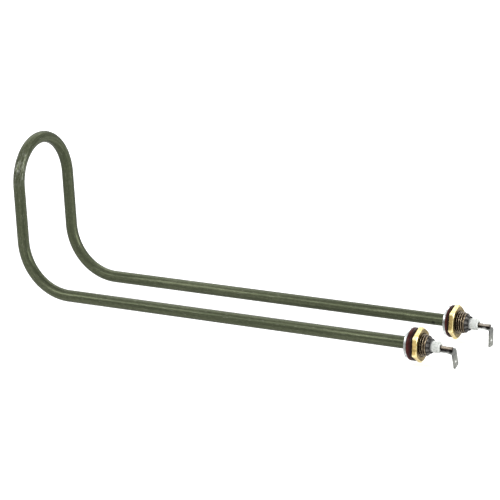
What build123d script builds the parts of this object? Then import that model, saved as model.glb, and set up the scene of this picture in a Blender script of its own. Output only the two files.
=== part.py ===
from build123d import *

import os
from math import cos, radians, sin, sqrt, tan

# Tubular heating element: a metal-sheathed heater bent into a hairpin, with its closed end turned up.
# Each leg ends in a threaded gland with a collar, a gasket and a nut, then a ceramic bead,
# the terminal pin and a spade tab that is welded under the pin and bent down.
# Millimetres. +X runs along the legs to the terminals, +Y across them, +Z up the turned-up end.
# The origin lies midway between the two glands, in the plane where the collars seat the gaskets.
# Front is the leg at -Y, rear is the leg at +Y. Named x values are distances along a leg.

# Hairpin route
leg_spacing = 60.0
leg_length = 254.5
bend_radius = 36.0
riser_lean_deg = 3.5
riser_length = 37.0

# Sheath and what is swaged inside it
sheath_od = 8.0
sheath_wall = 0.6
sheath_end_x = 10.5
coil_wire_d = 0.55
coil_start_x = -42.0
coil_grip = 12.0
fill_end_x = 2.5

# Terminal pin, pinched from above and below beside the weld
pin_d = 2.5
pin_end_x = 27.7
pin_chamfer = 0.2
pinch_from_end = 4.3
pinch_depth = 0.35
pinch_radius = 4.0

# Ceramic bead: head, nose beyond the step, and spigot inside the sheath
bead_d = 7.6
bead_end_x = 19.6
bead_nose_d = 7.2
bead_nose_length = 1.6
bead_edge_radius = 0.8
bead_step_radius = 0.15
bead_mouth_d = 3.5
bead_mouth_depth = 0.6
bead_spigot_length = 4.0
bead_clearance = 0.05

# Gland: turned body with a metric thread, a relief groove and a rim, its nose crimped down on the bead
thread_d = 14.0
thread_end_x = 10.3
thread_start_x = 1.2
thread_chamfer = 0.6
relief_d = 12.1
relief_width = 0.45
rim_d = 12.9
rim_end_x = 11.5
rim_edge = 0.25
gland_back_x = -1.8
shank_d = 12.0
gland_clearance = 0.02
crimp_end_x = 14.0
crimp_lip_d = 9.2
crimp_lip_edge = 0.25
crimp_mouth_depth = 1.2
crimp_waist = 0.25

# Collar behind the gasket
collar_d = 19.4
collar_edge = 0.35

# Gasket, squeezed further on the rear leg, where the nut is run up tighter
gasket_d = 21.2
front_gasket_t = 4.5
rear_gasket_t = 2.8
gasket_edge_radius = 0.9
gasket_groove_width = 0.8
gasket_groove_depth = 0.25
gasket_clearance = 0.05

# Hexagon nut
nut_af = 20.0
nut_t = 3.0
nut_face_d = 20.4
nut_chamfer_deg = 30.0
nut_countersink = 0.5
nut_clearance = 0.02
front_nut_turn_deg = -3.0
rear_nut_turn_deg = -9.0

# Spade tab, folded from one strip
tab_width = 6.3
tab_t = 0.8
tab_bend_radius = 0.5
tab_root_gap = 0.3
tab_beyond_pin = 0.9
tab_drop = 13.2
tab_tip_chamfer = 0.7
tab_hole_d = 1.8
tab_hole_drop = 9.1
tab_weld_gap = 0.02
front_tab_twist_deg = 20.0
rear_tab_twist_deg = 0.0

# Sizes that follow
sheath_r = sheath_od / 2
sheath_bore_r = sheath_r - sheath_wall
pin_r = pin_d / 2
coil_r = pin_r + coil_wire_d
pin_inner_x = coil_start_x - coil_grip
bead_r = bead_d / 2
bead_bore_r = pin_r + bead_clearance
bead_spigot_r = sheath_bore_r - bead_clearance
bead_spigot_x = sheath_end_x - bead_spigot_length
thread_r = thread_d / 2
tab_end_x = pin_end_x + tab_beyond_pin
tab_top_z = -pin_r - tab_weld_gap

legs = {
    "front": {
        "y": -leg_spacing / 2,
        "gasket_t": front_gasket_t,
        "nut_turn": front_nut_turn_deg,
        "tab_twist": front_tab_twist_deg,
    },
    "rear": {
        "y": leg_spacing / 2,
        "gasket_t": rear_gasket_t,
        "nut_turn": rear_nut_turn_deg,
        "tab_twist": rear_tab_twist_deg,
    },
}


def hairpin_path(end_x):
    """The centreline from end_x on the front leg, round the turned-up end, to end_x on the rear leg."""
    turn = radians(90 - riser_lean_deg)
    rise = Vector(-cos(turn), 0, sin(turn))
    half = leg_spacing / 2

    def bend_point(angle, y):
        return Vector(-leg_length - bend_radius * sin(angle), y, bend_radius * (1 - cos(angle)))

    def leg_points(y):
        bend_end = bend_point(turn, y)
        return [
            Vector(end_x, y, 0),
            Vector(-leg_length, y, 0),
            bend_point(turn / 2, y),
            bend_end,
            bend_end + rise * riser_length,
        ]

    front = leg_points(-half)
    rear = leg_points(half)
    crown = (front[4] + rear[4]) / 2 + rise * half
    return Wire(
        [
            Edge.make_line(front[0], front[1]),
            Edge.make_three_point_arc(front[1], front[2], front[3]),
            Edge.make_line(front[3], front[4]),
            Edge.make_three_point_arc(front[4], crown, rear[4]),
            Edge.make_line(rear[4], rear[3]),
            Edge.make_three_point_arc(rear[3], rear[2], rear[1]),
            Edge.make_line(rear[1], rear[0]),
        ]
    )


def along_hairpin(end_x, outer_r, inner_r=0.0):
    """A round bar, or a tube when inner_r is given, that follows the hairpin between its end_x places."""
    path = hairpin_path(end_x)
    start = Plane(origin=(end_x, -leg_spacing / 2, 0), z_dir=(-1, 0, 0))
    body = sweep(start * Circle(outer_r), path=path)
    if inner_r:
        body = body - sweep(start * Circle(inner_r), path=path)
    return body


def profile(*points):
    """A closed outline in the plane of a leg's axis: x along the leg, y the radius."""
    return make_face(Polyline(*points, close=True))


def rounded(outline, radius, *corners):
    """The outline with the corners nearest to the given points rounded."""
    for corner in corners:
        near = outline.vertices().sort_by_distance((corner[0], corner[1], 0))[0]
        outline = fillet(near, radius)
    return outline


def turned(outline):
    """The outline turned about the leg's axis."""
    return revolve(outline, axis=Axis.X)


def tube(x_from, x_to, outer_r, inner_r):
    return turned(profile((x_from, inner_r), (x_to, inner_r), (x_to, outer_r), (x_from, outer_r)))


def hexagon_bar(across_flats, x_from, x_to, turn_deg):
    """A hexagonal bar along X with a corner at the top, turned by turn_deg about X."""
    outline = RegularPolygon(across_flats / 2, 6, major_radius=False, rotation=90 + turn_deg)
    return extrude(Plane(origin=(x_from, 0, 0), x_dir=(0, 1, 0), z_dir=(1, 0, 0)) * outline, x_to - x_from)


# Sheath, fill and coil

def make_sheath():
    return along_hairpin(sheath_end_x, sheath_r, sheath_bore_r)


def make_heating_coil():
    """The close-wound resistance coil, as the sleeve that its turns fill."""
    return along_hairpin(coil_start_x, coil_r, pin_r)


def make_magnesia_fill():
    """Packed powder: all round the coil and the pins, and the core inside the coil."""
    jacket = along_hairpin(coil_start_x, sheath_bore_r, coil_r)
    for leg in legs.values():
        jacket = jacket + Pos(0, leg["y"], 0) * tube(coil_start_x, fill_end_x, sheath_bore_r, pin_r)
    core = along_hairpin(pin_inner_x, pin_r)
    return Compound([jacket.solid(), core.solid()])


# Pieces of one terminal, each about its leg's axis

def make_terminal_pin():
    outline = profile((pin_inner_x, 0), (pin_end_x, 0), (pin_end_x, pin_r), (pin_inner_x, pin_r))
    end_corner = outline.vertices().sort_by_distance((pin_end_x, pin_r, 0))[0]
    pin = turned(chamfer(end_corner, pin_chamfer))
    for side in (1, -1):
        jaw_z = side * (pin_r - pinch_depth + pinch_radius)
        pin = pin - Pos(pin_end_x - pinch_from_end, 0, jaw_z) * Rot(90, 0, 0) * Cylinder(pinch_radius, 2 * pin_d)
    return pin


def make_end_seal():
    return tube(fill_end_x, bead_spigot_x, sheath_bore_r, pin_r)


def make_ceramic_bead():
    nose_r = bead_nose_d / 2
    nose_x = bead_end_x - bead_nose_length
    outline = profile(
        (bead_spigot_x, bead_bore_r),
        (bead_end_x - bead_mouth_depth, bead_bore_r),
        (bead_end_x, bead_mouth_d / 2),
        (bead_end_x, nose_r),
        (nose_x, nose_r),
        (nose_x, bead_r),
        (sheath_end_x, bead_r),
        (sheath_end_x, bead_spigot_r),
        (bead_spigot_x, bead_spigot_r),
    )
    outline = rounded(outline, bead_edge_radius, (bead_end_x, nose_r))
    outline = rounded(outline, bead_step_radius, (nose_x, bead_r))
    return turned(outline)


def make_threaded_gland():
    """The turned body: shank under the collar, thread to its major diameter, relief, rim and crimped nose.
    The nose curves inward to a thin lip round the bead, with its mouth open a little wider than the bead."""
    shank_r = shank_d / 2
    bore_r = sheath_r + gland_clearance
    mouth_bore_r = bead_r + bead_clearance
    rim_start_x = thread_end_x + relief_width
    root = (rim_end_x, rim_d / 2 - rim_edge)
    lip = (crimp_end_x, crimp_lip_d / 2)
    waist = ((root[0] + lip[0]) / 2, (root[1] + lip[1]) / 2 - crimp_waist)
    outline = make_face(
        ThreePointArc(root, waist, lip)
        + Polyline(
            lip,
            (crimp_end_x, lip[1] - crimp_lip_edge),
            (crimp_end_x - crimp_mouth_depth, mouth_bore_r),
            (sheath_end_x, mouth_bore_r),
            (sheath_end_x, bore_r),
            (gland_back_x, bore_r),
            (gland_back_x, shank_r),
            (thread_start_x, shank_r),
            (thread_start_x + thread_chamfer, thread_r),
            (thread_end_x - thread_chamfer, thread_r),
            (thread_end_x, thread_r - thread_chamfer),
            (thread_end_x, relief_d / 2),
            (rim_start_x, relief_d / 2),
            (rim_start_x, rim_d / 2),
            (rim_end_x - rim_edge, rim_d / 2),
            root,
        )
    )
    return turned(outline)


def make_collar():
    """A flat ring on the gland's shank, its outer edges broken."""
    outline = profile(
        (gland_back_x, shank_d / 2),
        (0, shank_d / 2),
        (0, collar_d / 2),
        (gland_back_x, collar_d / 2),
    )
    return turned(rounded(outline, collar_edge, (gland_back_x, collar_d / 2), (0, collar_d / 2)))


def make_gasket(thickness):
    """A soft ring with a rounded rim and one shallow groove round it."""
    rim_r = gasket_d / 2
    hole_r = thread_r + gasket_clearance
    middle = thickness / 2
    groove = gasket_groove_width / 2
    outline = profile(
        (0, hole_r),
        (thickness, hole_r),
        (thickness, rim_r),
        (middle + groove, rim_r),
        (middle, rim_r - gasket_groove_depth),
        (middle - groove, rim_r),
        (0, rim_r),
    )
    return turned(rounded(outline, gasket_edge_radius, (0, rim_r), (thickness, rim_r)))


def make_hex_nut(x_from, turn_deg):
    """A thin nut, its corners chamfered at the outer face only, bored to the thread's major diameter."""
    x_to = x_from + nut_t
    face_r = nut_face_d / 2
    corner_r = nut_af / sqrt(3)
    bore_r = thread_r + nut_clearance
    bevel = (corner_r - face_r) * tan(radians(nut_chamfer_deg))
    blank = turned(
        profile(
            (x_from, bore_r + nut_countersink),
            (x_from + nut_countersink, bore_r),
            (x_to - nut_countersink, bore_r),
            (x_to, bore_r + nut_countersink),
            (x_to, face_r),
            (x_to - bevel, corner_r),
            (x_from, corner_r),
        )
    )
    return blank & hexagon_bar(nut_af, x_from, x_to, turn_deg)


def make_spade_tab(twist_deg):
    """One strip: flat under the pin, bent down, with a hole and a chamfered tip."""
    root_x = bead_end_x + tab_root_gap
    inner_x = tab_end_x - tab_t
    under_z = tab_top_z - tab_t
    outline = Polyline(
        (root_x, 0, tab_top_z),
        (tab_end_x, 0, tab_top_z),
        (tab_end_x, 0, -tab_drop),
        (inner_x, 0, -tab_drop),
        (inner_x, 0, under_z),
        (root_x, 0, under_z),
        close=True,
    )
    strip = make_face(outline)
    outside = strip.vertices().sort_by_distance((tab_end_x, 0, tab_top_z))[0]
    strip = fillet(outside, tab_bend_radius + tab_t)
    inside = strip.vertices().sort_by_distance((inner_x, 0, under_z))[0]
    strip = fillet(inside, tab_bend_radius)
    tab = extrude(strip, amount=tab_width / 2, dir=(0, 1, 0), both=True)
    tip_corners = tab.edges().filter_by(Axis.X).group_by(Axis.Z)[0]
    tab = chamfer(tip_corners, tab_tip_chamfer)
    hole = Pos(inner_x + tab_t / 2, 0, -tab_hole_drop) * Rot(0, 90, 0) * Cylinder(tab_hole_d / 2, 2 * tab_t)
    return Rot(twist_deg, 0, 0) * (tab - hole)


def build_nodes():
    nodes = {
        "sheath": make_sheath(),
        "magnesia_fill": make_magnesia_fill(),
        "heating_coil": make_heating_coil(),
    }
    for side, leg in legs.items():
        place = Pos(0, leg["y"], 0)
        nodes[side + "_terminal_pin"] = place * make_terminal_pin()
        nodes[side + "_end_seal"] = place * make_end_seal()
        nodes[side + "_ceramic_bead"] = place * make_ceramic_bead()
        nodes[side + "_threaded_gland"] = place * make_threaded_gland()
        nodes[side + "_collar"] = place * make_collar()
        nodes[side + "_gasket"] = place * make_gasket(leg["gasket_t"])
        nodes[side + "_hex_nut"] = place * make_hex_nut(leg["gasket_t"], leg["nut_turn"])
        nodes[side + "_spade_tab"] = place * make_spade_tab(leg["tab_twist"])
    return nodes


def main():
    os.makedirs("parts", exist_ok=True)
    for name, shape in build_nodes().items():
        export_step(shape, os.path.join("parts", name + ".step"))


main()
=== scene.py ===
from collections import namedtuple
from math import atan2, cos, hypot, pi, radians, sin, sqrt, tan

import bmesh
import bpy
from bpy.props import FloatProperty, FloatVectorProperty, PointerProperty
from mathutils import Matrix, Vector


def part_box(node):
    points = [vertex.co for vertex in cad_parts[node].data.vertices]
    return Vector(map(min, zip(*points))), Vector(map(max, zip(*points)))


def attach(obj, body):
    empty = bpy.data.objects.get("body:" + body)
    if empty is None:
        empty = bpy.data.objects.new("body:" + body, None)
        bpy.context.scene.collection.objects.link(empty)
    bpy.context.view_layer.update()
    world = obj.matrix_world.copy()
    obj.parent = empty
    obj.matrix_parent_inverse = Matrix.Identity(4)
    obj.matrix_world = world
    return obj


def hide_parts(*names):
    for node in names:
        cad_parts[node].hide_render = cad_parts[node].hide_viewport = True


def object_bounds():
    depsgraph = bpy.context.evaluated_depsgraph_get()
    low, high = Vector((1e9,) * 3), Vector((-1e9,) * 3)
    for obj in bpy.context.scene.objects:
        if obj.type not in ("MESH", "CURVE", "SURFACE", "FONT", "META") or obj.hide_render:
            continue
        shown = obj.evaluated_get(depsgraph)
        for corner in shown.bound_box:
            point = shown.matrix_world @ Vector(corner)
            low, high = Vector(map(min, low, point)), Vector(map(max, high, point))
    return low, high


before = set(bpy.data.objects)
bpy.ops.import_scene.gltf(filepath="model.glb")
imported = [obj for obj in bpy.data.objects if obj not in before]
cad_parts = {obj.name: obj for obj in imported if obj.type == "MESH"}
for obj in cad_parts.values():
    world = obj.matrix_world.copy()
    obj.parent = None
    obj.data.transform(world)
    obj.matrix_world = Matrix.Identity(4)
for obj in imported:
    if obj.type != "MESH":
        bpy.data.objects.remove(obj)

bl_info = {
    "name": "Tubular Heating Element",
    "version": (1, 0, 0),
    "blender": (4, 5, 0),
    "location": "3D View > Sidebar > Heater",
    "description": "Dresses the solids of a hairpin heating element with finished meshes and a small studio",
    "category": "Add Mesh",
}

MM = 0.001
BODY = "root"
SIDES = ("front", "rear")
# How many jaws crimped each gland's nose, and how far the tube reaches inside the gland, along X
CRIMP_JAWS = 10
TUBE_END_MM = 10.5
cad_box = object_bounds()


# Values taken from the frame

Seat = namedtuple("Seat", "x_from x_to y z radius")


def seat_of(node):
    """Where a node sits on its leg: its reach along X, its axis and its outer radius."""
    low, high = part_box(node)
    return Seat(low.x, high.x, (low.y + high.y) / 2, (low.z + high.z) / 2, (high.z - low.z) / 2)


def linear(code):
    """A linear colour from an sRGB hex value such as #8a8c86."""
    channels = [int(code[i:i + 2], 16) / 255 for i in (1, 3, 5)]
    return tuple(c / 12.92 if c <= 0.04045 else ((c + 0.055) / 1.055) ** 2.4 for c in channels) + (1.0,)


def mm(*sizes):
    """Sizes in millimetres as metres."""
    return tuple(size * MM for size in sizes)


def length_value(name, description, millimetres):
    """A length that the user may change, kept in metres."""
    return FloatProperty(
        name=name, description=description, default=millimetres * MM, unit="LENGTH", precision=5
    )


def angle_value(name, description, degrees):
    return FloatProperty(name=name, description=description, default=radians(degrees), subtype="ANGLE")


def colour_value(name, description, code):
    return FloatVectorProperty(
        name=name, description=description, default=linear(code), size=4, subtype="COLOR", min=0, max=1
    )


def number_value(name, description, value):
    return FloatProperty(name=name, description=description, default=value)


# Settings

class HeaterSheathSettings(bpy.types.PropertyGroup):
    """The bent tube."""

    diameter: length_value("Tube diameter", "Outside of the drawn tube", 8.0)
    wall: length_value("Tube wall", "Thickness of the tube's wall", 0.6)
    end: length_value("Tube end", "Where the tube stops inside each gland, along X", TUBE_END_MM)
    leg: length_value("Leg length", "Straight tube from the seat plane to the bend", 254.5)
    bend: length_value("Bend radius", "Centreline radius where the legs turn up", 36.0)
    riser: length_value("Riser length", "Straight tube between bend and closed end", 37.0)
    lean: angle_value("Riser lean", "How far the turned-up end leans back", 3.5)
    oxide: colour_value("Oxide", "Olive film left by annealing", "#595e49")
    # On the risers this colour also stands for painted shade.
    oxide_dark_and_riser_shade: colour_value("Dark oxide", "Thicker film in the drawing lines and on the risers", "#3d4231")
    bare: colour_value("Worn metal", "Steel showing through where the film is rubbed", "#94978a")


class HeaterGlandSettings(bpy.types.PropertyGroup):
    """The gland, its collar, gasket and nut."""

    pitch: length_value("Thread pitch", "From crest to crest", 1.5)
    thread_from: length_value("Thread start", "Where the thread leaves the shank, along X", 1.2)
    thread_to: length_value("Thread end", "Where the relief groove begins, along X", 10.3)
    shank: length_value("Shank diameter", "Plain part behind the thread", 12.0)
    relief: length_value("Relief diameter", "Bottom of the groove between thread and rim", 12.1)
    relief_width: length_value("Relief width", "Length of the groove between thread and rim", 0.45)
    rim: length_value("Rim diameter", "Turned rim in front of the crimped nose", 12.9)
    rim_to: length_value("Rim end", "Where the crimped nose begins, along X", 11.5)
    nose_mouth: length_value("Nose mouth diameter", "Crimped nose at its lip", 9.2)
    nose_waist: length_value("Nose waist", "How far the nose curves inward midway", 0.25)
    across_flats: length_value("Nut across flats", "Width over the nut's flats", 20.0)
    nut_face: length_value("Nut face diameter", "Where the corner chamfers begin", 20.4)
    front_nut_turn: angle_value("Front nut turn", "How far a corner stands from the top", -3.0)
    rear_nut_turn: angle_value("Rear nut turn", "How far a corner stands from the top", -9.0)
    brass: colour_value("Brass flats", "Drawn brass of the nut's flats", "#efdfa6")
    brass_face: colour_value("Brass faces", "Turned faces of the nut, browner than the flats", "#8a7748")
    # partly a painted highlight on the nut's edges
    brass_edge_highlight: colour_value("Brass edges", "Chamfers and edges rubbed bright", "#fbeeb4")
    # one of the two crest colours, painted paler than the roots as a highlight
    brass_dull: colour_value("Dulled brass", "Thread crests, browned by the brazing heat", "#80725c")
    crimp: colour_value("Crimped nose", "Dark grey heat tint of the nose", "#393837")
    gasket: colour_value("Gasket", "Maroon silicone rubber", "#4e1c17")
    collar: colour_value("Collar", "Bright plated steel", "#e2e6e6")


class HeaterTerminalSettings(bpy.types.PropertyGroup):
    """The bead, the pin and the spade tab."""

    bead_nose: length_value("Bead nose diameter", "Outer end of the bead, beyond its step", 7.2)
    bead_nose_length: length_value("Bead nose length", "From the step to the outer end", 1.6)
    pinch: length_value("Pin pinch", "From the pin's end back to where it was clamped", 4.3)
    pinch_depth: length_value("Pin pinch depth", "How deep the clamp marked each side", 0.35)
    tab_width: length_value("Tab width", "Width of the spade", 6.3)
    tab_thickness: length_value("Tab thickness", "Sheet of the spade", 0.8)
    tab_hole: length_value("Tab hole", "Detent hole in the blade", 1.8)
    tab_hole_drop: length_value("Tab hole drop", "From the pin's axis down to the hole", 9.1)
    tab_drop: length_value("Tab drop", "From the pin's axis down to the tip", 13.2)
    front_twist: angle_value("Front tab twist", "How far the front tab is turned about its pin", 20.0)
    rear_twist: angle_value("Rear tab twist", "How far the rear tab is turned about its pin", 0.0)
    ceramic: colour_value("Ceramic", "White steatite of the beads", "#dde0dc")
    pin: colour_value("Pin", "Warm grey of the pins", "#a19b92")
    tab: colour_value("Tab", "Nickelled steel of the spades", "#858780")


class HeaterStageSettings(bpy.types.PropertyGroup):
    """The camera and the lights."""

    azimuth: angle_value("Camera azimuth", "Turn of the camera from the -Y side towards +X", 28.6)
    elevation: angle_value("Camera elevation", "Height of the camera above the horizon", 13.54)
    roll: angle_value("Camera roll", "Tilt of the picture", -0.29)
    distance: length_value("Camera distance", "From the point it looks at", 1512.0)
    lens: number_value("Lens", "Focal length in millimetres on a 36 mm sensor", 165.3)
    aim_x: length_value("Aim X", "Point the camera looks at", -131.35)
    aim_z: length_value("Aim Z", "Point the camera looks at", 39.12)
    key: number_value("Key light", "Watts of the large softbox at the camera's left", 8.5)
    overhead: number_value("Overhead light", "Watts of the overhead softbox", 7.5)
    side: number_value("Side light", "Watts of the softbox at the camera's right", 13.0)
    ambient: number_value("Ambient", "Strength of the even light from all round", 0.55)


# Meshes

def shares(steps, first=0):
    """Even shares of a stretch, the last of them 1."""
    return [step / steps for step in range(first, steps + 1)]


def rounded_outline(corners, steps=5):
    """The closed outline through corners of (x, r, fillet), each fillet an arc of a few points."""
    points = []
    for index, (x, r, fillet) in enumerate(corners):
        here = Vector((x, r))
        if not fillet:
            points.append(here)
            continue
        before = (Vector(corners[index - 1][:2]) - here).normalized()
        after = (Vector(corners[(index + 1) % len(corners)][:2]) - here).normalized()
        half = before.angle(after) / 2
        centre = here + (before + after).normalized() * (fillet / sin(half))
        first = here + before * (fillet / tan(half)) - centre
        last = here + after * (fillet / tan(half)) - centre
        start = atan2(first.y, first.x)
        sweep = (atan2(last.y, last.x) - start + pi) % (2 * pi) - pi
        for share in shares(steps):
            angle = start + sweep * share
            points.append(centre + fillet * Vector((cos(angle), sin(angle))))
    return points


def circle_points(x, radius, count):
    """A ring about the X axis. radius is a length, or a function of the angle."""
    ring = []
    for index in range(count):
        angle = 2 * pi * index / count
        r = radius(angle) if callable(radius) else radius
        ring.append(Vector((x, r * cos(angle), r * sin(angle))))
    return ring


def turned(outline, count):
    """The rings of an outline of (x, radius) turned about the X axis."""
    return [circle_points(x, r, count) for x, r in outline]


def skin(rings, places):
    """A closed mesh over rings of equally many points, the last ring joined to the first.
    rings are drawn about a straight axis along X, and the attribute own_axis keeps them for the materials.
    places holds the same rings where they really are."""
    count = len(rings[0])
    faces = []
    for index in range(len(rings)):
        here = index * count
        there = (index + 1) % len(rings) * count
        for side in range(count):
            other = (side + 1) % count
            faces.append((here + side, here + other, there + other, there + side))
    mesh = bpy.data.meshes.new("skin")
    mesh.from_pydata([point for ring in places for point in ring], [], faces)
    keep_own_axis(mesh, [point for ring in rings for point in ring])
    return mesh


def keep_own_axis(mesh, points):
    """Keeps each vertex's place about its piece's own axis as an attribute."""
    layer = mesh.attributes.new("own_axis", "FLOAT_VECTOR", "POINT")
    layer.data.foreach_set("vector", [value for point in points for value in point])


def tidy(mesh, sharp_deg=35):
    """Merges doubled points, turns the faces outward and shades the mesh smooth up to that angle."""
    work = bmesh.new()
    work.from_mesh(mesh)
    doubled = 0.0005 * MM
    bmesh.ops.remove_doubles(work, verts=work.verts, dist=doubled)
    bmesh.ops.dissolve_degenerate(work, edges=work.edges, dist=doubled)
    bmesh.ops.recalc_face_normals(work, faces=work.faces)
    work.to_mesh(mesh)
    work.free()
    mesh.shade_smooth()
    mesh.set_sharp_from_angle(angle=radians(sharp_deg))


def add_object(name, data):
    """A new object in the scene."""
    item = bpy.data.objects.new(name, data)
    bpy.context.scene.collection.objects.link(item)
    return item


def place_piece(name, mesh, materials, node):
    """Puts a finished mesh in the scene as the piece that stands for a CAD node."""
    mesh.name = name
    piece = add_object(name, mesh)
    for material in materials:
        mesh.materials.append(material)
    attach(piece, BODY)
    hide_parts(node)
    return piece


def axis_piece(name, rings, materials, node, finishes=(), sharp_deg=35):
    """A piece over rings drawn about the X axis, moved onto its leg. finishes counts, ring by ring, which
    material the faces up to the next ring have. Where it ends, the first material goes on."""
    seat = seat_of(node)
    shift = Vector((0, seat.y, seat.z))
    mesh = skin(rings, [[point + shift for point in ring] for ring in rings])
    count = len(rings[0])
    for ring, finish in enumerate(finishes):
        for face in mesh.polygons[ring * count:(ring + 1) * count]:
            face.material_index = finish
    tidy(mesh, sharp_deg)
    return place_piece(name, mesh, materials, node)


# Materials

Look = namedtuple("Look", "material tree place own masks")


def add_node(tree, kind, inputs=None, out=0, **settings):
    """Adds a shader node or a group's own end, sets its properties, gives each named input a constant, a hex
    colour or another node's output, and returns the output that `out` counts or names, or the node itself
    where it is None."""
    node = tree.nodes.new(kind if kind.startswith("NodeGroup") else "ShaderNode" + kind)
    for name, value in settings.items():
        setattr(node, name, value)
    for key, value in (inputs or {}).items():
        if isinstance(value, bpy.types.NodeSocket):
            tree.links.new(value, node.inputs[key])
        else:
            node.inputs[key].default_value = linear(value) if isinstance(value, str) else value
    return node if out is None else node.outputs[out]


def empty_tree(owner):
    """The node tree of a material or a world, with nothing in it."""
    owner.use_nodes = True
    owner.node_tree.nodes.clear()
    return owner.node_tree


def soft_patches():
    """The node group that all the finishes share: soft noise in cells of a real size, as a mask that
    rises from 0 to 1 between two levels."""
    group = bpy.data.node_groups.get("soft_patches")
    if group:
        return group
    group = bpy.data.node_groups.new("soft_patches", "ShaderNodeTree")
    for name, kind in (
        ("Place", "Vector"), ("Cell", "Vector"), ("From", "Float"), ("To", "Float"), ("Detail", "Float"),
    ):
        group.interface.new_socket(name, in_out="INPUT", socket_type="NodeSocket" + kind)
    group.interface.new_socket("Mask", in_out="OUTPUT", socket_type="NodeSocketFloat")
    given = add_node(group, "NodeGroupInput", out=None).outputs
    cells = add_node(group, "VectorMath", {0: given["Place"], 1: given["Cell"]}, operation="DIVIDE")
    noise = add_node(group, "TexNoise", {
        "Vector": cells, "Scale": 1.0, "Detail": given["Detail"], "Roughness": 0.55,
    })
    mask = add_node(group, "MapRange", {"Value": noise, "From Min": given["From"], "From Max": given["To"]})
    add_node(group, "NodeGroupOutput", {"Mask": mask}, None)
    return group


def measured(look, what):
    """What a fade runs along: the piece's own axis X, Y or Z, the radius about its own axis, the height in
    the row's frame, or the distance from a point in that frame, given in millimetres."""
    if what == "height":
        return add_node(look.tree, "SeparateXYZ", {0: look.place}, "Z")
    if what == "radius":
        across = add_node(look.tree, "VectorMath", {0: look.own, 1: (0, 1, 1)}, operation="MULTIPLY")
        return add_node(look.tree, "VectorMath", {0: across}, "Value", operation="LENGTH")
    if isinstance(what, tuple):
        ends = {0: look.place, 1: mm(*what)}
        return add_node(look.tree, "VectorMath", ends, "Value", operation="DISTANCE")
    return add_node(look.tree, "SeparateXYZ", {0: look.own}, what)


def start_material(name, patterns, fades=None):
    """An empty material with the place in the row's frame, the place about the piece's own axis, and masks.
    A pattern is the place it is laid in, its cell, the two levels it rises between and its detail.
    A fade is what it runs along, where it starts and ends there, and what it gives there, if not 0 and 1."""
    material = bpy.data.materials.new(name)
    tree = empty_tree(material)
    place = add_node(tree, "TexCoord", out="Object")
    own = add_node(tree, "Attribute", out="Vector", attribute_name="own_axis")
    look = Look(material, tree, place, own, {})
    for key, (where, cell, start, end, detail) in patterns.items():
        look.masks[key] = add_node(tree, "Group", {
            "Place": getattr(look, where), "Cell": cell, "From": start, "To": end, "Detail": detail,
        }, node_tree=soft_patches())
    for key, (what, start, end, *given) in (fades or {}).items():
        first, last = given or (0.0, 1.0)
        along = measured(look, what)
        look.masks[key] = add_node(tree, "MapRange", {
            "Value": along, "From Min": start, "From Max": end, "To Min": first, "To Max": last,
        })
    return look


def share_of(look, factors):
    """The product of masks, given by their names, and of numbers."""
    share = look.masks[factors[0]]
    for factor in factors[1:]:
        other = look.masks.get(factor, factor)
        share = add_node(look.tree, "Math", {0: share, 1: other}, operation="MULTIPLY")
    return share


def finish_material(look, colour, coats, reliefs, inputs):
    """Lays the coats over the colour, presses the reliefs, and joins the shader to the output.
    A coat is its colour, then the masks and numbers whose product is its share. A relief is a mask and its
    depth in millimetres. A roughness of three parts is a mask and what it gives at 0 and at 1."""
    tree = look.tree
    for coat, *factors in coats:
        share = share_of(look, factors)
        colour = add_node(tree, "Mix", {0: share, 6: colour, 7: coat}, 2, data_type="RGBA")
    inputs = {"Base Color": colour, **inputs}
    if isinstance(inputs["Roughness"], tuple):
        mask, first, last = inputs["Roughness"]
        inputs["Roughness"] = add_node(tree, "MapRange", {
            "Value": look.masks[mask], "To Min": first, "To Max": last,
        })
    for mask, depth in reliefs:
        bump = {"Height": look.masks[mask], "Distance": depth * MM}
        if "Normal" in inputs:
            bump["Normal"] = inputs["Normal"]
        inputs["Normal"] = add_node(tree, "Bump", bump)
    shader = add_node(tree, "BsdfPrincipled", inputs)
    add_node(tree, "OutputMaterial", {"Surface": shader}, None)
    return look.material


def wave_scale(spacing):
    """The scale at which a wave texture repeats after that spacing: at scale 1 it turns by 20 radians in a
    unit."""
    return 2 * pi / (20 * spacing)


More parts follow.
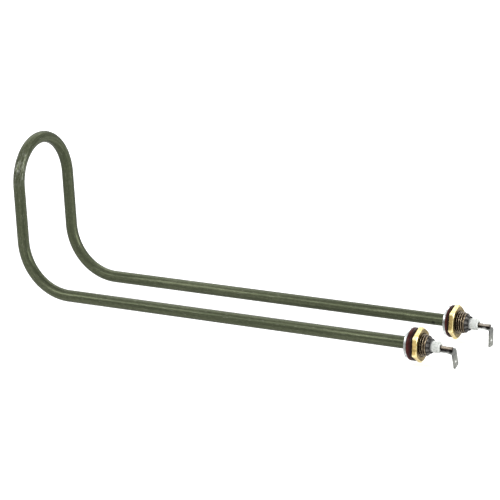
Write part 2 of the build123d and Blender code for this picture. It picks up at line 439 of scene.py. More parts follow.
def oxidised_tube_material(settings):
    """Stainless steel tube, drawn and then bright annealed: satin metal under an olive oxide film, with fine
    lines along the tube from the drawing die, small specks and rubs from handling, painted shade that darkens
    the risers between the bend and the crown, a scuffed shoulder where the bending tool held it, and a burn
    beside the rear gland."""
    look = start_material("oxidised_stainless_tube", {
        "bands": ("own", mm(160, 2.4, 2.4), 0.36, 0.64, 2.0),
        "lines": ("own", mm(60, 0.7, 0.7), 0.4, 0.62, 3.0),
        "mottle": ("place", mm(2.6, 1.6, 1.6), 0.35, 0.7, 4.0),
        "fine": ("own", mm(14, 0.35, 0.35), 0.3, 0.7, 2.0),
        "specks": ("own", mm(1.1, 0.7, 0.7), 0.69, 0.75, 2.0),
        "rubs": ("own", mm(5, 0.5, 0.5), 0.63, 0.72, 3.0),
        "scuffs": ("own", mm(4, 0.5, 0.5), 0.52, 0.62, 3.0),
        "flecks": ("own", mm(1.8, 0.7, 0.7), 0.58, 0.64, 3.0),
    }, {
        "shoulder": ((-299, -29, 84), *mm(7, 16), 0.8, 0.0),
        "burn": ((-10.7, 26.2, -1.6), *mm(0.5, 1.7), 0.9, 0.0),
        "above_bend": ("height", *mm(15, 45)),
        "below_crown": ("height", *mm(92, 74)),
    })
    look.masks["scuffs"] = share_of(look, ("scuffs", "shoulder"))
    return finish_material(look, settings.oxide_dark_and_riser_shade, [
        (settings.oxide, "bands"),
        # painted shade: darkens the risers between the bend and the crown
        (settings.oxide_dark_and_riser_shade, "above_bend", "below_crown", 0.42),
        ("#696e57", "lines", 0.3),
        ("#2f3428", "mottle", 0.45),
        ("#191c15", "specks", 0.8),
        (settings.bare, "rubs", 0.45),
        ("#acaea6", "scuffs", 0.9),
        ("#1b1d17", "flecks", "shoulder", 1.2),
        ("#1a1a16", "burn"),
    ], [("fine", 0.02), ("scuffs", 0.01)], {
        "Metallic": 0.4,
        "Roughness": ("lines", 0.33, 0.27),
        "Specular IOR Level": 0.3,
        "Specular Tint": "#7e8371",
    })


def packed_magnesia_material():
    """Magnesia powder, rammed tight: chalky white with a fine grit."""
    look = start_material("packed_magnesia", {"grit": ("place", mm(0.3, 0.3, 0.3), 0.3, 0.7, 2.0)})
    return finish_material(look, "#dedcd3", [("#f3f2ec", "grit")], [("grit", 0.03)], {"Roughness": 0.9})


def wound_alloy_material():
    """Nickel-chrome resistance wire, close wound: grey metal with a ridge for each 0.55 mm turn."""
    look = start_material("wound_resistance_wire", {})
    look.masks["turns"] = add_node(look.tree, "TexWave", {
        "Vector": look.place, "Scale": wave_scale(0.55 * MM),
    }, "Fac", bands_direction="X")
    shine = {"Metallic": 1.0, "Roughness": 0.4}
    return finish_material(look, "#5d5b57", [("#a3a09a", "turns")], [("turns", 0.1)], shine)


def cured_resin_material():
    """Silicone resin poured and cured as the end seal: dark red-brown with a soft gloss."""
    look = start_material("cured_silicone_resin", {"clouds": ("place", mm(1.5, 1.5, 1.5), 0.3, 0.7, 2.0)})
    return finish_material(look, "#45190f", [("#5c2a1c", "clouds")], [("clouds", 0.05)], {"Roughness": 0.35})


def plated_collar_material(settings):
    """Steel ring, zinc plated: bright silver with faint turning marks and a slightly cloudy plate, with
    painted shade that darkens its outer part on the side towards -Y. The marks are really 0.1 mm apart and
    are drawn 0.35 mm apart, to show at all."""
    look = start_material("zinc_plated_collar", {
        "clouds": ("place", mm(2.2, 2.2, 2.2), 0.35, 0.6, 3.0),
    }, {
        # painted shade on the rim's side towards -Y
        "fade_zone": ("Y", *mm(-8.4, -9.6), 0.0, 0.85),
    })
    look.masks["marks"] = add_node(look.tree, "TexWave", {
        "Vector": look.own, "Scale": wave_scale(0.35 * MM), "Distortion": 0.4,
    }, "Fac", wave_type="RINGS", rings_direction="X")
    return finish_material(look, "#a2a7a7", [
        (settings.collar, "clouds"),
        # painted shade
        ("#787c78", "fade_zone"),
    ], [("marks", 0.006)], {"Metallic": 0.9, "Roughness": ("clouds", 0.34, 0.24)})


def silicone_gasket_material(settings, nut_face):
    """Silicone rubber, moulded: deep maroon with a soft sheen, paler where dust clings, and painted shade
    that makes it almost black on the part towards the nut."""
    look = start_material("moulded_silicone_rubber", {
        "dust": ("place", mm(0.8, 0.8, 0.8), 0.55, 0.8, 4.0),
        "clouds": ("place", mm(4, 3, 3), 0.35, 0.65, 2.0),
    }, {
        "painted_shade_by_nut": ("X", 0.35 * nut_face, 0.75 * nut_face),
    })
    return finish_material(look, "#351210", [
        (settings.gasket, "clouds"),
        ("#55271f", "dust"),
        # painted shade towards the nut
        ("#1a0705", "painted_shade_by_nut"),
    ], [("clouds", 0.08)], {"Roughness": ("dust", 0.34, 0.6), "Specular IOR Level": 0.12})


def drawn_brass_material(settings):
    """Brass, the drawn skin of hexagon bar: pale gold with lines along the bar and small pits, browned by
    painted shade on the flat that faces -Y, and with corners worn paler by the spanner and painted paler as a
    highlight."""
    corner = settings.across_flats / sqrt(3)
    look = start_material("drawn_brass_flats", {
        "blotches": ("place", mm(2.4, 1.8, 1.8), 0.4, 0.62, 3.0),
        "pits": ("place", mm(0.7, 0.6, 0.6), 0.64, 0.7, 2.0),
        "grain": ("place", mm(2.5, 0.25, 0.25), 0.3, 0.7, 2.0),
    }, {
        "rubbed_and_highlight": ("radius", corner - 0.7 * MM, corner - 0.15 * MM),
    })
    # painted shade: the flat facing -Y is browned
    look.masks["brown_tone"] = add_node(look.tree, "Attribute", out="Fac", attribute_name="brown_tone")
    browner = add_node(look.tree, "Mix", {
        0: look.masks["blotches"], 6: "#bfa566", 7: "#94804c",
    }, 2, data_type="RGBA")
    return finish_material(look, settings.brass, [
        ("#dcc585", "blotches"),
        (browner, "brown_tone"),
        ("#7f6a3a", "pits"),
        # painted highlight on the corners, as well as wear
        (settings.brass_edge_highlight, "rubbed_and_highlight"),
    ], [("pits", -0.05), ("grain", 0.008)], {"Metallic": 0.85, "Roughness": ("blotches", 0.3, 0.42)})


def turned_brass_material(settings):
    """Brass, faced on the lathe and tarnished: olive brown with rings from the tool, darkened round the
    thread by painted shade. The rings are really 0.1 mm apart and are drawn 0.3 mm apart, to show at all."""
    look = start_material("turned_brass_faces", {
        "brown_tone": ("place", mm(2.4, 2.4, 2.4), 0.35, 0.66, 4.0),
    }, {
        "painted_shade_round_thread": ("radius", *mm(7.4, 8.4), 0.7, 0.0),
    })
    phase = add_node(look.tree, "Math", {
        0: measured(look, "radius"), 1: 2 * pi / (0.3 * MM),
    }, operation="MULTIPLY")
    look.masks["rings"] = add_node(look.tree, "Math", {0: phase}, operation="SINE")
    return finish_material(look, "#63552f", [
        (settings.brass_face, "brown_tone"),
        # painted shade round the thread
        ("#2c2413", "painted_shade_round_thread"),
    ], [("rings", 0.006)], {"Metallic": 0.85, "Roughness": ("brown_tone", 0.5, 0.38)})


def edge_highlight_brass_material(settings):
    """Brass, the chamfers and edges of the nut, worn bright by handling and painted paler as a highlight:
    pale gold with a light scuff.
    """
    look = start_material("burnished_and_highlight_brass_edges", {"scuff": ("place", mm(1.4, 1.0, 1.0), 0.4, 0.68, 3.0)})
    shine = {"Metallic": 0.85, "Roughness": ("scuff", 0.24, 0.36)}
    return finish_material(look, settings.brass_edge_highlight, [("#d9bd72", "scuff")], [], shine)


def dulled_thread_material(settings):
    """Brass, threaded and then heated in brazing: bronze brown, with painted shade darkest in the roots, the
    crests and the rim worn to cream and copper and painted paler as a highlight, and soot, heavier on the
    side towards -Y as painted shade."""
    look = start_material("dulled_brass_thread", {
        "soot": ("place", mm(1.2, 1.0, 1.0), 0.42, 0.66, 3.0),
        "copper": ("place", mm(1.6, 1.6, 1.6), 0.42, 0.56, 2.0),
    }, {
        # painted highlight on the crests and the rim, as well as wear
        "crest": ("radius", *mm(6.5, 6.95)),
        "rim": ("X", settings.rim_to - 0.85 * MM, settings.rim_to - 0.65 * MM, 0.0, 0.55),
        # painted shade on the side towards -Y
        "flame": ("Y", *mm(-5.4, -6.8), 0.4, 0.85),
    })
    look.masks["bright"] = add_node(look.tree, "Math", {
        0: look.masks["crest"], 1: look.masks["rim"],
    }, operation="MAXIMUM")
    rubbed_and_highlight = add_node(look.tree, "Mix", {
        0: look.masks["copper"], 6: "#b3a58c", 7: settings.brass_dull,
    }, 2, data_type="RGBA")
    # the dark base is painted shade in the roots
    return finish_material(look, "#2c2216", [
        (rubbed_and_highlight, "bright"),
        ("#3a2e22", "soot", "flame"),
    ], [("soot", 0.02)], {"Metallic": 0.9, "Roughness": ("soot", 0.26, 0.4)})


def tinted_crimp_material(settings):
    """Metal squeezed cold by crimping jaws and tinted by heat: the flats that the jaws pressed are burnished
    grey with streaks along the nose, and the tint stays almost black between them. Painted shade makes the
    lip and the nose's root beside the rim almost black."""
    tip = seat_of("front_threaded_gland").x_to
    look = start_material("heat_tinted_crimp", {
        "streaks": ("own", mm(4, 0.5, 0.5), 0.36, 0.62, 3.0),
        "uneven": ("place", mm(2.2, 1.6, 1.6), 0.36, 0.58, 2.0),
    }, {
        # painted shade at the lip and at the root beside the rim
        "lip": ("X", tip - 0.3 * MM, tip - 0.1 * MM),
        "root": ("X", settings.rim_to + 0.6 * MM, settings.rim_to + 0.15 * MM),
    })
    tree = look.tree
    parts = add_node(tree, "SeparateXYZ", {0: look.own}, None).outputs
    angle = add_node(tree, "Math", {0: parts["Z"], 1: parts["Y"]}, operation="ARCTAN2")
    turns = add_node(tree, "Math", {0: angle, 1: CRIMP_JAWS / (2 * pi)}, operation="MULTIPLY")
    flats = add_node(tree, "Math", {0: turns, 1: 0.5}, operation="PINGPONG")
    look.masks["pressed"] = add_node(tree, "MapRange", {"Value": flats, "From Min": 0.16, "From Max": 0.34})
    return finish_material(look, "#1c1b1a", [
        (settings.crimp, "streaks"),
        ("#686663", "pressed", "uneven"),
        # painted shade
        ("#1b1713", "root"),
        ("#121316", "lip"),
    ], [("streaks", 0.05)], {"Metallic": 0.85, "Roughness": ("streaks", 0.5, 0.32)})


def steatite_material(settings):
    """Steatite ceramic, pressed and fired: matt white with faint grey-green smudges on its outer part, where
    hands touch it, a pressed grain, and painted shade in the countersink round the pin."""
    look = start_material("fired_steatite", {
        "smudges": ("place", mm(1.5, 1.2, 1.2), 0.5, 0.66, 3.0),
        "grain": ("place", mm(0.25, 0.25, 0.25), 0.3, 0.7, 2.0),
    }, {
        "fade_zone": ("X", *mm(14.9, 15.5), 0.0, 0.8),
        "painted_shade": ("radius", *mm(2.1, 1.7)),
    })
    return finish_material(look, settings.ceramic, [
        ("#b0b8ae", "smudges", "fade_zone"),
        # painted shade
        ("#4d4741", "painted_shade"),
    ], [("grain", 0.015)], {"Roughness": 0.42})


def drawn_pin_material(settings):
    """Steel wire, drawn and browned by the weld: warm grey with lines along it, and painted shade underneath,
    on the side where the tab is welded on."""
    look = start_material("drawn_steel_pin", {
        "lines": ("own", mm(8, 0.35, 0.35), 0.35, 0.65, 3.0),
        "tint": ("place", mm(2.5, 1.2, 1.2), 0.42, 0.62, 2.0),
    }, {
        "painted_shade": ("Z", *mm(0.35, -0.4)),
    })
    return finish_material(look, "#6e685f", [
        (settings.pin, "lines"),
        ("#857b6c", "tint"),
        # painted shade
        ("#231c16", "painted_shade"),
    ], [("lines", 0.01)], {"Metallic": 1.0, "Roughness": ("lines", 0.42, 0.3)})


def scorched_end_material():
    """Steel, the sheared end of the pin, scorched by the weld: near black with a brown bloom."""
    look = start_material("scorched_pin_end", {"bloom": ("place", mm(0.9, 0.9, 0.9), 0.4, 0.65, 3.0)})
    shine = {"Metallic": 0.7, "Roughness": 0.5}
    return finish_material(look, "#1a1816", [("#4a3f33", "bloom")], [("bloom", 0.04)], shine)


def nickelled_tab_material(settings):
    """Sheet steel, stamped and nickelled: satin grey with a greenish bloom, fine rolling lines and small dark
    scratches, a painted highlight that whitens the strip under the pin, and darker round the bend."""
    look = start_material("nickelled_sheet", {
        "rolling": ("own", mm(0.3, 4, 4), 0.3, 0.7, 2.0),
        "bloom": ("place", mm(1.6, 1.3, 1.3), 0.38, 0.6, 3.0),
        "scratches": ("own", mm(0.5, 0.35, 2.2), 0.6, 0.7, 2.0),
    }, {
        # painted highlight on the flat strip under the pin
        "painted_highlight_top": ("Z", *mm(-2.5, -2.1), 0.0, 0.85),
        "outer_end": ("X", *mm(25.2, 26.6)),
        "near_bend": ("Z", *mm(-7.5, -4.0), 0.0, 0.85),
    })
    return finish_material(look, "#64665f", [
        (settings.tab, "bloom"),
        # painted highlight
        ("#e9ebe8", "painted_highlight_top"),
        # darker towards the top of the blade, round the bend
        ("#4f514e", "outer_end", "near_bend"),
        ("#4b4d48", "scratches", 0.6),
    ], [("rolling", 0.008)], {"Metallic": 0.9, "Roughness": ("bloom", 0.42, 0.28)})


def punched_wall_material():
    """Sheet steel, the punched hole's wall, burnished by the punch: light, with lines along its depth."""
    look = start_material("punched_hole_wall", {"lines": ("own", mm(0.8, 0.15, 0.15), 0.35, 0.65, 2.0)})
    shine = {"Metallic": 0.8, "Roughness": 0.3}
    return finish_material(look, "#cfd1ce", [("#f2f3f1", "lines")], [("lines", 0.01)], shine)


def seen_share(tree):
    """1 where the camera, a reflection or a refraction looks, and 0 for the light that a surface gets."""
    path = add_node(tree, "LightPath", out=None).outputs
    seen = path["Is Camera Ray"]
    for kind in ("Is Glossy Ray", "Is Transmission Ray"):
        seen = add_node(tree, "Math", {0: seen, 1: path[kind]}, operation="MAXIMUM")
    return seen


def paper_floor_material():
    """Seamless white paper: matt, lit up to white towards its edges, where it meets the white surroundings,
    and keeping the object's shadow near it."""
    look = start_material("seamless_paper", {}, {"glow": ((0, 0, 0), 0.3, 0.9, 0.55, 0.95)})
    look.masks["seen"] = seen_share(look.tree)
    return finish_material(look, "#e6e6e6", [], [], {
        "Roughness": 0.9,
        "Specular IOR Level": 0.1,
        "Emission Color": "#ffffff",
        "Emission Strength": share_of(look, ("seen", "glow")),
    })


# Pieces

def hairpin_stations(settings, y_front, y_rear):
    """Places along the sheath's centreline as (point, direction, side, distance run), from the front end.
    side is the level direction across the tube that stays square to the path."""
    turn = radians(90) - settings.lean
    rise = Vector((-cos(turn), 0, sin(turn)))
    across = Vector((0, 1, 0))
    leg_steps, bend_steps, riser_steps, crown_steps = 66, 44, 10, 96

    leg = []
    for share in shares(leg_steps):
        x = settings.end - (settings.end + settings.leg) * share
        leg.append((Vector((x, 0, 0)), Vector((-1, 0, 0))))
    for share in shares(bend_steps, 1):
        angle = turn * share
        x = -settings.leg - settings.bend * sin(angle)
        z = settings.bend * (1 - cos(angle))
        leg.append((Vector((x, 0, z)), Vector((-cos(angle), 0, sin(angle)))))
    foot = leg[-1][0]
    for share in shares(riser_steps, 1):
        leg.append((foot + rise * (settings.riser * share), rise))

    half = (y_rear - y_front) / 2
    centre = leg[-1][0] + across * (y_front + half)
    path = [(point + across * y_front, direction, across) for point, direction in leg]
    for share in shares(crown_steps, 1)[:-1]:
        angle = pi * share
        outward = -cos(angle) * across + sin(angle) * rise
        direction = sin(angle) * across + cos(angle) * rise
        path.append((centre + half * outward, direction, -outward))
    path += [(point + across * y_rear, -direction, -across) for point, direction in reversed(leg)]

    stations = []
    run = 0.0
    before = path[0][0]
    for point, direction, side in path:
        run += (point - before).length
        stations.append((point, direction, side, run))
        before = point
    return stations


def build_sheath(settings):
    """The tube: its outside all along the path, then its bore back to the start."""
    low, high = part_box("sheath")
    outer = settings.diameter / 2
    bore = outer - settings.wall
    stations = hairpin_stations(settings, low.y + outer, high.y - outer)
    segments = 72
    rings = []
    places = []
    for radius, route in ((outer, stations), (bore, stations[::-1])):
        for point, direction, side, run in route:
            up = direction.cross(side)
            ring = circle_points(run, radius, segments)
            rings.append(ring)
            places.append([point + side * spot.y + up * spot.z for spot in ring])
    mesh = skin(rings, places)
    tidy(mesh)
    place_piece("bent_sheath", mesh, [oxidised_tube_material(settings)], "sheath")


def thread_depth(turns, pitch):
    """Depth of a 60 degree thread below its crest, at a place counted in turns from a crest."""
    full = 0.6134 * pitch
    crest = 1 / 16
    root = 1 / 8
    away = abs((turns + 0.5) % 1.0 - 0.5)
    flank = (away - crest) / (0.5 - root - crest)
    return full * min(max(flank, 0.0), 1.0)


def build_gland(side, settings, materials):
    """The gland: shank, helical thread, relief groove, rim, crimped nose with a lip, and the bore back."""
    node = side + "_threaded_gland"
    low, tip, _, _, major = seat_of(node)
    shank = settings.shank / 2
    relief = settings.relief / 2
    rim = settings.rim / 2
    mouth = settings.nose_mouth / 2
    start = settings.thread_from
    end = settings.thread_to
    rim_from = end + settings.relief_width
    rim_to = settings.rim_to
    tube_end, tube_bore, mouth_bore, mouth_depth = mm(TUBE_END_MM, 4.02, 3.85, 1.2)
    chamfer, edge, squeeze = mm(0.6, 0.25, 0.24)
    root = rim - edge
    thread_steps = 182
    nose_steps = 24

    def thread_radius(x):
        """The helical thread, chamfered at both its ends."""
        limit = min(major, major - chamfer + min(x - start, end - x))

        def at(angle):
            cut = major - thread_depth(x / settings.pitch - angle / (2 * pi), settings.pitch)
            return max(min(cut, limit), shank)
        return at

    def nose_radius(share):
        """The waisted nose, with flutes that the jaws pressed unevenly and that fade towards its lip."""
        base = root + (mouth - root) * share - 4 * settings.nose_waist * share * (1 - share)

        def at(angle):
            facet = (angle * CRIMP_JAWS / (2 * pi)) % 1.0 - 0.5
            pressed = (0.5 + 0.5 * cos(2 * pi * facet)) * (0.8 + 0.25 * sin(3 * angle + 1))
            return base - squeeze * pressed * min(1.0, 4 * share) * (1 - 0.75 * share ** 2)
        return at

    stations = [(low, shank), (start, shank)]
    for share in shares(thread_steps):
        x = start + (end - start) * share
        stations.append((x, thread_radius(x)))
    stations += [
        (end, relief),
        (rim_from, relief),
        (rim_from, rim - edge / 2),
        (rim_from + edge / 2, rim),
        (rim_to - edge, rim),
    ]
    nose_from = len(stations)
    for share in shares(nose_steps):
        stations.append((rim_to + (tip - rim_to) * share, nose_radius(share)))
    stations += [(tip, mouth - edge), (tip - mouth_depth, mouth_bore)]
    nose_to = len(stations)
    stations += [(tube_end, mouth_bore), (tube_end, tube_bore), (low, tube_bore)]
    finishes = [0] * nose_from + [1] * (nose_to - nose_from)
    axis_piece(side + "_gland", turned(stations, 120), materials, node, finishes, 30)


def build_collar(side, settings, materials):
    """A flat ring that fits the gland's shank."""
    node = side + "_collar"
    low, high, _, _, rim = seat_of(node)
    bore = settings.shank / 2
    edge = 0.35 * MM
    outline = rounded_outline([(low, bore, 0), (high, bore, 0), (high, rim, edge), (low, rim, edge)])
    axis_piece(side + "_collar_ring", turned(outline, 128), materials, node)


def build_gasket(side, settings):
    """A soft ring squeezed a little unevenly, with a shallow groove round its rim."""
    node = side + "_gasket"
    low, high, _, _, rim = seat_of(node)
    middle = (low + high) / 2
    bore, edge, groove_half, groove_depth, groove_edge = mm(7.05, 0.9, 0.4, 0.25, 0.1)
    outline = rounded_outline([
        (low, bore, 0),
        (high, bore, 0),
        (high, rim, edge),
        (middle + groove_half, rim, groove_edge),
        (middle, rim - groove_depth, groove_edge),
        (middle - groove_half, rim, groove_edge),
        (low, rim, edge),
    ])
    swell, firm_radius = mm(0.12, 8)
    phase = {"front": 1.3, "rear": 4.0}[side]

    def lumpy(radius):
        share = max(0.0, (radius - firm_radius) / (rim - firm_radius))

        def at(angle):
            wave = 0.5 * sin(3 * angle + phase) + 0.3 * sin(7 * angle + 2 * phase) - 0.8
            return radius + swell * share * wave
        return at

    rings = turned([(x, lumpy(r)) for x, r in outline], 160)
    materials = [silicone_gasket_material(settings, high)]
    axis_piece(side + "_gasket_ring", rings, materials, node)


def hexagon_outline(across_flats, corner_fillet, turn):
    """Points round a hexagon with a corner at the top, its corners a little rounded, as (y, z)."""
    corner = across_flats / sqrt(3)
    corners = []
    for index in range(6):
        angle = radians(90 + 60 * index) + turn
        corners.append((corner * cos(angle), corner * sin(angle), corner_fillet))
    rounded = rounded_outline(corners, 4)
    points = []
    for index, here in enumerate(rounded):
        there = rounded[(index + 1) % len(rounded)]
        flat = (there - here).length > across_flats / 4
        steps = 14 if flat else 1
        points += [here.lerp(there, share) for share in shares(steps)[:-1]]
    return points


def build_nut(side, settings, materials):
    """The nut: corners chamfered at the outer face, so each flat ends in an arc there, every edge broken a
    little, and both mouths countersunk. The flat that faces -Y is browned by painted shade."""
    node = side + "_hex_nut"
    low, high, *_ = seat_of(node)
    turn = {"front": settings.front_nut_turn, "rear": settings.rear_nut_turn}[side]
    face = settings.nut_face / 2
    corner_fillet, edge, bore, sink = mm(0.25, 0.2, 7.03, 7.52)
    outline = hexagon_outline(settings.across_flats, corner_fillet, turn)
    slope = tan(radians(30))

    def ring_at(x, pull, limit=None, chamfered=0.0):
        """The outline pulled in by `pull` and no wider than `limit`, on the chamfer cone if there is one."""
        ring = []
        for point in outline:
            reach = min(point.length - pull, limit or point.length)
            drop = max(0.0, (reach - face) * chamfered)
            spot = point * (reach / point.length)
            ring.append(Vector((x - drop, spot.x, spot.y)))
        return ring

    depth = sink - bore
    rings = [
        ring_at(low, edge),
        ring_at(low + edge, 0.0),
        ring_at(high - edge, 0.0, None, slope),
        ring_at(high, edge, None, slope),
        ring_at(high, edge, face, slope),
        ring_at(high, edge, sink),
        ring_at(high - depth, edge, bore),
        ring_at(low + depth, edge, bore),
        ring_at(low, edge, sink),
    ]
    # the burnished faces carry the painted edge highlight as well
    flats, turned, burnished = 0, 1, 2
    finishes = [burnished, flats, burnished, burnished] + [turned] * 5
    piece = axis_piece(side + "_nut", rings, materials, node, finishes, 24)
    # painted shade: how much brown the flat facing -Y gets
    brown_tone = piece.data.attributes.new("brown_tone", "FLOAT", "FACE")
    brown_tone.data.foreach_set("value", [max(0.0, -face.normal.y) ** 8 for face in piece.data.polygons])


def build_bead(side, settings, materials):
    """The bead: spigot inside the tube, neck under the lip, head, small step and nose, countersunk hole."""
    node = side + "_ceramic_bead"
    low, high, _, _, head = seat_of(node)
    nose = settings.bead_nose / 2
    step = high - settings.bead_nose_length
    hole, sink, sink_depth, spigot = mm(1.3, 1.75, 0.6, 3.35)
    neck = head - 0.14 * MM
    shoulder, head_from, neck_to = mm(TUBE_END_MM, 15.2, 14.9)
    outline = rounded_outline([
        (low, hole, 0),
        (high - sink_depth, hole, 0),
        (high, sink, 0.12 * MM),
        (high, nose, 0.8 * MM),
        (step, nose, 0),
        (step, head, 0.15 * MM),
        (head_from, head, 0.35 * MM),
        (neck_to, neck, 0),
        (shoulder, neck, 0.1 * MM),
        (shoulder, spigot, 0),
        (low, spigot, 0.2 * MM),
    ])
    axis_piece(side + "_bead", turned(outline, 96), materials, node)


def build_pin(side, settings, materials):
    """The pin: clamped from above and below beside the weld, with a scorched, slightly rounded end."""
    node = side + "_terminal_pin"
    low, high, _, _, radius = seat_of(node)
    pinch = high - settings.pinch
    jaw, reach, edge, dish, centre = mm(4.0, 1.8, 0.22, 0.05, 0.02)
    stations = [(low, centre), (low, radius)]
    stations += [(pinch + reach * (2 * share - 1), radius) for share in shares(40)]
    end = [
        (high - edge, radius),
        (high - 0.3 * edge, radius - 0.3 * edge),
        (high, radius - edge),
        (high - dish, radius * 0.45),
        (high - dish, centre),
    ]
    finishes = [0] * len(stations) + [1] * (len(end) - 1)
    rings = []
    for x, r in stations + end:
        ring = circle_points(x, r, 64)
        away = abs(x - pinch)
        if away < jaw / 2:
            limit = radius - settings.pinch_depth + jaw - sqrt(jaw ** 2 - away ** 2)
            for point in ring:
                point.z = min(max(point.z, -limit), limit)
        rings.append(ring)
    axis_piece(side + "_pin", rings, materials, node, finishes)


def bent_strip(outline, half_width, tip_z, tip_chamfer, thick):
    """A mesh of the strip's side outline, as (x, z), drawn out to both sides, with its tip chamfered."""
    work = bmesh.new()
    sides = [[work.verts.new((p.x, y, p.y)) for p in outline] for y in (-half_width, half_width)]
    work.faces.new(sides[0])
    work.faces.new(reversed(sides[1]))
    for index in range(len(outline)):
        other = (index + 1) % len(outline)
        work.faces.new((sides[0][other], sides[0][index], sides[1][index], sides[1][other]))
    bmesh.ops.recalc_face_normals(work, faces=work.faces)
    tip = [
        edge for edge in work.edges
        if all(abs(v.co.z - tip_z) < 0.01 * MM for v in edge.verts)
        and abs(edge.verts[0].co.x - edge.verts[1].co.x) > 0.5 * thick
    ]
    bmesh.ops.bevel(work, geom=tip, offset=tip_chamfer, segments=1, affect="EDGES", profile=0.5)
    strip = bpy.data.meshes.new("strip")
    work.to_mesh(strip)
    work.free()
    return strip


def drilled(mesh, centre, radius, depth):
    """The mesh with a round hole along X."""
    work = bmesh.new()
    spin = Matrix.Translation(centre) @ Matrix.Rotation(radians(90), 4, "Y")
    bmesh.ops.create_cone(
        work, cap_ends=True, segments=40, radius1=radius, radius2=radius, depth=depth, matrix=spin
    )
    drill = bpy.data.meshes.new("drill")
    work.to_mesh(drill)
    work.free()
    strip = add_object("strip", mesh)
    cutter = add_object("cutter", drill)
    cut = strip.modifiers.new("hole", "BOOLEAN")
    cut.operation = "DIFFERENCE"
    cut.solver = "EXACT"
    cut.object = cutter
    bpy.context.view_layer.update()
    result = bpy.data.meshes.new_from_object(strip.evaluated_get(bpy.context.evaluated_depsgraph_get()))
    bpy.data.objects.remove(strip)
    bpy.data.objects.remove(cutter)
    return result


def build_tab(side, settings, materials):
    """The spade: one strip flat under the pin, bent down, with a chamfered tip and a detent hole."""
    node = side + "_spade_tab"
    low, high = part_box(node)
    pin = seat_of(side + "_terminal_pin")
    thick = settings.tab_thickness
    weld_gap, inside_radius, tip_chamfer, broken_edge = mm(0.02, 0.5, 0.7, 0.08)
    top = -pin.radius - weld_gap
    tip = -settings.tab_drop
    outline = rounded_outline([
        (low.x, top, 0),
        (high.x, top, inside_radius + thick),
        (high.x, tip, 0),
        (high.x - thick, tip, 0),
        (high.x - thick, top - thick, inside_radius),
        (low.x, top - thick, 0),
    ], 8)
    blade = bent_strip(outline, settings.tab_width / 2, tip, tip_chamfer, thick)
    hole = Vector((high.x - thick / 2, 0, -settings.tab_hole_drop))
    radius = settings.tab_hole / 2
    mesh = drilled(blade, hole, radius, 3 * thick)
    keep_own_axis(mesh, [vertex.co for vertex in mesh.vertices])
    for face in mesh.polygons:
        off_axis = hypot(face.center.y - hole.y, face.center.z - hole.z)
        face.material_index = 1 if off_axis < 1.02 * radius and abs(face.normal.x) < 0.5 else 0
    twist = {"front": settings.front_twist, "rear": settings.rear_twist}[side]
    mesh.transform(Matrix.Translation((0, pin.y, pin.z)) @ Matrix.Rotation(twist, 4, "X"))
    tidy(mesh, 24)
    piece = place_piece(side + "_spade", mesh, materials, node)
    bevel = piece.modifiers.new("broken_edges", "BEVEL")
    bevel.width = broken_edge
    bevel.segments = 2
    bevel.limit_method = "ANGLE"
    bevel.angle_limit = radians(32)
    bevel.harden_normals = True


def build_pair(build, settings, *materials):
    """Builds a piece on each leg, with the same materials on both."""
    for side in SIDES:
        build(side, settings, materials)


# Studio

def build_floor():
    """A wide sheet of paper just under the lowest point."""
    low, high = cad_box
    reach = 6.0
    middle = (low + high) / 2
    corners = [(-reach, -reach, 0), (reach, -reach, 0), (reach, reach, 0), (-reach, reach, 0)]
    mesh = bpy.data.meshes.new("paper_floor")
    mesh.from_pydata(corners, [], [(0, 1, 2, 3)])
    mesh.materials.append(paper_floor_material())
    floor_sheet = add_object("paper_floor", mesh)
    floor_sheet.location = (middle.x, middle.y, low.z - 0.1 * MM)


def build_lights(settings):
    """A key softbox at the camera's left, one overhead, one at its right, and even light all round that
    shows as white. Each softbox faces the object's middle, and is placed from there in metres."""
    low, high = cad_box
    for name, away, size, watts in (
        ("key_softbox", (-0.7, -1.07, 0.82), (0.7, 0.5), settings.key),
        ("overhead_softbox", (-0.6, 0.62, 0.95), (1.5, 0.8), settings.overhead),
        ("side_softbox", (1.4, 0.15, 0.55), (0.6, 0.8), settings.side),
    ):
        lamp = bpy.data.lights.new(name, "AREA")
        lamp.shape = "RECTANGLE"
        lamp.size, lamp.size_y = size
        lamp.energy = watts
        box = add_object(name, lamp)
        box.location = (low + high) / 2 + Vector(away)
        box.rotation_euler = Vector(away).to_track_quat("Z", "Y").to_euler()
    world = bpy.data.worlds.new("even_light")
    tree = empty_tree(world)
    strength = add_node(tree, "MapRange", {
        "Value": seen_share(tree), "To Min": settings.ambient, "To Max": 1.0,
    })
    light = add_node(tree, "Background", {"Color": "#ffffff", "Strength": strength})
    add_node(tree, "OutputWorld", {"Surface": light}, None)
    bpy.context.scene.world = world


def build_camera(settings):
    """The camera at the photograph's angle."""
    back = Vector((
        sin(settings.azimuth) * cos(settings.elevation),
        -cos(settings.azimuth) * cos(settings.elevation),
        sin(settings.elevation),
    ))
    level = Vector((cos(settings.azimuth), sin(settings.azimuth), 0))
    upright = back.cross(level)
    right = level * cos(settings.roll) + upright * sin(settings.roll)
    up = upright * cos(settings.roll) - level * sin(settings.roll)
    data = bpy.data.cameras.new("camera")
    data.sensor_width = 36
    data.lens = settings.lens
    data.clip_end = 50
    camera = add_object("camera", data)
    place = Vector((settings.aim_x, 0, settings.aim_z)) + back * settings.distance
    camera.matrix_world = Matrix.Translation(place) @ Matrix((right, up, back)).transposed().to_4x4()
    scene = bpy.context.scene
    scene.camera = camera
    scene.view_settings.view_transform = "Standard"


# Operators

class HEATER_OT_sheath(bpy.types.Operator):
    """Build the bent tube"""

    bl_idname = "heater.sheath"
    bl_label = "Bent Sheath"

    def execute(self, context):
        build_sheath(context.scene.heater_sheath)
        return {"FINISHED"}


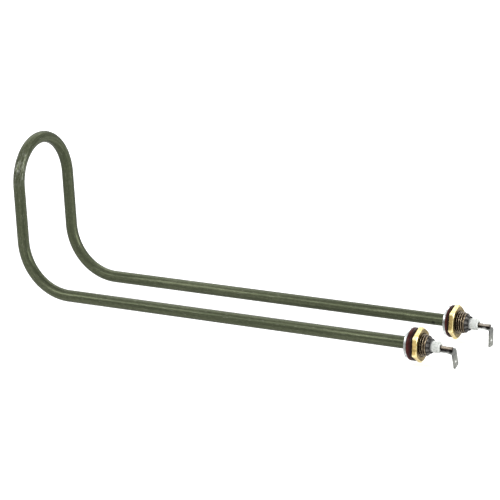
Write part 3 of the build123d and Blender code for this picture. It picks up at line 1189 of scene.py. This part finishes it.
class HEATER_OT_core(bpy.types.Operator):
    """Finish the fill, the coil and the end seals, which stay the frame's own solids"""

    bl_idname = "heater.core"
    bl_label = "Core"

    def execute(self, context):
        finishes = {
            "magnesia_fill": packed_magnesia_material(),
            "heating_coil": wound_alloy_material(),
            "front_end_seal": cured_resin_material(),
        }
        finishes["rear_end_seal"] = finishes["front_end_seal"]
        for node, material in finishes.items():
            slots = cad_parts[node].material_slots
            if not slots:
                raise RuntimeError("no material slot on " + node)
            for slot in slots:
                slot.material = material
        return {"FINISHED"}


class HEATER_OT_glands(bpy.types.Operator):
    """Build the threaded glands"""

    bl_idname = "heater.glands"
    bl_label = "Threaded Glands"

    def execute(self, context):
        settings = context.scene.heater_gland
        build_pair(build_gland, settings, dulled_thread_material(settings), tinted_crimp_material(settings))
        return {"FINISHED"}


class HEATER_OT_collars(bpy.types.Operator):
    """Build the collars behind the gaskets"""

    bl_idname = "heater.collars"
    bl_label = "Collars"

    def execute(self, context):
        settings = context.scene.heater_gland
        build_pair(build_collar, settings, plated_collar_material(settings))
        return {"FINISHED"}


class HEATER_OT_gaskets(bpy.types.Operator):
    """Build the silicone gaskets"""

    bl_idname = "heater.gaskets"
    bl_label = "Gaskets"

    def execute(self, context):
        for side in SIDES:
            build_gasket(side, context.scene.heater_gland)
        return {"FINISHED"}


class HEATER_OT_nuts(bpy.types.Operator):
    """Build the hexagon nuts"""

    bl_idname = "heater.nuts"
    bl_label = "Nuts"

    def execute(self, context):
        settings = context.scene.heater_gland
        finishes = (drawn_brass_material, turned_brass_material, edge_highlight_brass_material)
        build_pair(build_nut, settings, *[finish(settings) for finish in finishes])
        return {"FINISHED"}


class HEATER_OT_beads(bpy.types.Operator):
    """Build the ceramic beads"""

    bl_idname = "heater.beads"
    bl_label = "Ceramic Beads"

    def execute(self, context):
        settings = context.scene.heater_terminal
        build_pair(build_bead, settings, steatite_material(settings))
        return {"FINISHED"}


class HEATER_OT_pins(bpy.types.Operator):
    """Build the terminal pins"""

    bl_idname = "heater.pins"
    bl_label = "Terminal Pins"

    def execute(self, context):
        settings = context.scene.heater_terminal
        build_pair(build_pin, settings, drawn_pin_material(settings), scorched_end_material())
        return {"FINISHED"}


class HEATER_OT_tabs(bpy.types.Operator):
    """Build the spade tabs"""

    bl_idname = "heater.tabs"
    bl_label = "Spade Tabs"

    def execute(self, context):
        settings = context.scene.heater_terminal
        build_pair(build_tab, settings, nickelled_tab_material(settings), punched_wall_material())
        return {"FINISHED"}


class HEATER_OT_stage(bpy.types.Operator):
    """Build the paper floor, the softboxes and the camera"""

    bl_idname = "heater.stage"
    bl_label = "Studio"

    def execute(self, context):
        build_floor()
        build_lights(context.scene.heater_stage)
        build_camera(context.scene.heater_stage)
        return {"FINISHED"}


# Panel and registration

class HEATER_PT_panel(bpy.types.Panel):
    """Buttons that build the heater, piece by piece"""

    bl_label = "Tubular Heating Element"
    bl_space_type = "VIEW_3D"
    bl_region_type = "UI"
    bl_category = "Heater"

    def draw(self, context):
        for operator in OPERATORS:
            self.layout.operator(operator.bl_idname)


OPERATORS = (
    HEATER_OT_sheath,
    HEATER_OT_core,
    HEATER_OT_glands,
    HEATER_OT_collars,
    HEATER_OT_gaskets,
    HEATER_OT_nuts,
    HEATER_OT_beads,
    HEATER_OT_pins,
    HEATER_OT_tabs,
    HEATER_OT_stage,
)
SETTINGS = {
    "heater_sheath": HeaterSheathSettings,
    "heater_gland": HeaterGlandSettings,
    "heater_terminal": HeaterTerminalSettings,
    "heater_stage": HeaterStageSettings,
}


def register():
    for cls in (*SETTINGS.values(), *OPERATORS, HEATER_PT_panel):
        bpy.utils.register_class(cls)
    for name, cls in SETTINGS.items():
        setattr(bpy.types.Scene, name, PointerProperty(type=cls))


def unregister():
    for name in SETTINGS:
        delattr(bpy.types.Scene, name)
    for cls in (HEATER_PT_panel, *reversed(OPERATORS), *SETTINGS.values()):
        bpy.utils.unregister_class(cls)


def main():
    register()
    for operator in OPERATORS:
        group, name = operator.bl_idname.split(".")
        getattr(getattr(bpy.ops, group), name)()


if __name__ == "__main__":
    main()
